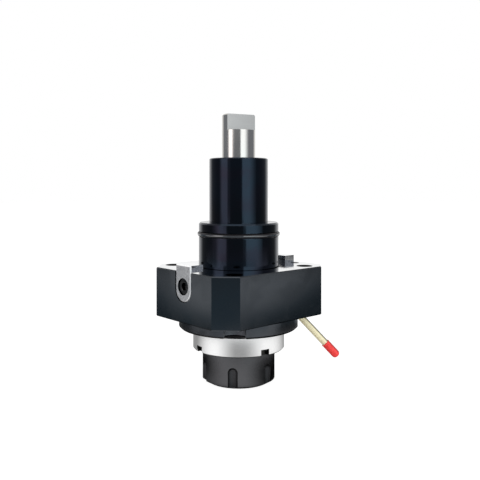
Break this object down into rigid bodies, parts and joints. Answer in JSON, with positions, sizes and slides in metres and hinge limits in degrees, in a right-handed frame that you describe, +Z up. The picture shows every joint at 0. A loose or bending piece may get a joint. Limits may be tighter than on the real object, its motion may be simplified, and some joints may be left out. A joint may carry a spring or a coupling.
{
  "type": "live tool holder",
  "caption": "Straight live tool holder with a round spigot, square flange, driven spindle with tang, roller bearings, slotted collet with clamping nut, and a swivelling coolant tube.",
  "frame": {"origin": "on the spigot axis, in the plane of the flange's seating face", "axes": "+Z up the spigot towards the driving tang; +X and -Y are the two flange faces seen in the picture, +X without and -Y with a locating key"},
  "size_m": [0.0824, 0.1115, 0.1823],
  "materials": {
    "black_oxide_steel": "black oxide, satin",
    "ground_steel": "ground",
    "spindle_steel": "hardened and ground",
    "cover_steel": "turned bright",
    "nut_steel": "dark oxide, satin",
    "key_steel": "ground",
    "screw_steel": "black oxide",
    "bearing_steel": "polished",
    "cage_steel": "pressed",
    "collet_steel": "ground",
    "seal_rubber": "matte",
    "nozzle_steel": "turned",
    "tube_brass": "drawn",
    "cap_plastic": "moulded"
  },
  "bodies": {
    "holder": {"housing": "black_oxide_steel", "bearing_cover_ring": "cover_steel", "front_shaft_seal": "seal_rubber", "lower_bearing_outer_ring": "bearing_steel", "upper_bearing_outer_ring": "bearing_steel", "bearing_spacer": "ground_steel", "needle_bearing_cup": "bearing_steel", "rear_shaft_seal": "seal_rubber", "spigot_oring": "seal_rubber", "locating_key_left": "key_steel", "locating_key_right": "key_steel", "key_screws": "screw_steel", "coolant_nozzle_body": "nozzle_steel"},
    "drive_spindle": {"spindle": "spindle_steel", "lower_bearing_inner_ring": "bearing_steel", "upper_bearing_inner_ring": "bearing_steel", "bearing_locknut": "ground_steel", "locknut_set_screw": "screw_steel"},
    "lower_roller_set": {"lower_bearing_cage": "cage_steel", "lower_bearing_rollers": "bearing_steel"},
    "upper_roller_set": {"upper_bearing_cage": "cage_steel", "upper_bearing_rollers": "bearing_steel"},
    "needle_set": {"needle_bearing_cage": "cage_steel", "needle_bearing_rollers": "bearing_steel"},
    "clamping_collet": {"collet": "collet_steel"},
    "clamping_nut": {"collet_nut": "nut_steel", "extractor_ring": "ground_steel", "extractor_snap_ring": "screw_steel"},
    "nozzle_swivel": {"coolant_nozzle_seat": "nozzle_steel"},
    "nozzle_tube": {"coolant_nozzle_ball": "nozzle_steel", "coolant_tube": "tube_brass"},
    "nozzle_cap": {"tube_cap": "cap_plastic"}
  },
  "joints": [
    {"name": "spindle_spin", "type": "hinge", "parent": "holder", "child": "drive_spindle", "pos_m": [0, 0, 0], "axis": [0, 0, 1], "continuous": true},
    {"name": "lower_rollers_orbit", "type": "hinge", "parent": "holder", "child": "lower_roller_set", "pos_m": [0, 0, -0.0268], "axis": [0, 0, 1], "continuous": true},
    {"name": "upper_rollers_orbit", "type": "hinge", "parent": "holder", "child": "upper_roller_set", "pos_m": [0, 0, -0.0116], "axis": [0, 0, 1], "continuous": true},
    {"name": "needles_orbit", "type": "hinge", "parent": "holder", "child": "needle_set", "pos_m": [0, 0, 0.0573], "axis": [0, 0, 1], "continuous": true},
    {"name": "collet_release", "type": "slide", "parent": "drive_spindle", "child": "clamping_collet", "axis": [0, 0, -1], "range_m": [0, 0.0105]},
    {"name": "nut_turn", "type": "hinge", "parent": "clamping_collet", "child": "clamping_nut", "pos_m": [0, 0, -0.067], "axis": [0, 0, -1], "range_deg": [0, 2521]},
    {"name": "nozzle_turn", "type": "hinge", "parent": "holder", "child": "nozzle_swivel", "pos_m": [0.016, 0.0394, -0.0341], "axis": [0, 0, 1], "range_deg": [-50, 85]},
    {"name": "nozzle_tilt", "type": "hinge", "parent": "nozzle_swivel", "child": "nozzle_tube", "pos_m": [0.016, 0.0394, -0.0341], "axis": [-0.7478, 0.6639, 0], "range_deg": [0, 60]},
    {"name": "cap_pull", "type": "slide", "parent": "nozzle_tube", "child": "nozzle_cap", "axis": [0.4553, 0.5129, -0.7278], "range_m": [0, 0.011]}
  ],
  "couplings": [
    {"joint": "lower_rollers_orbit", "follows": "spindle_spin", "ratio": 0.44321},
    {"joint": "upper_rollers_orbit", "follows": "spindle_spin", "ratio": 0.44321},
    {"joint": "needles_orbit", "follows": "spindle_spin", "ratio": 0.4529},
    {"joint": "nut_turn", "follows": "collet_release", "rad_per_m": 4188.8}
  ]
}
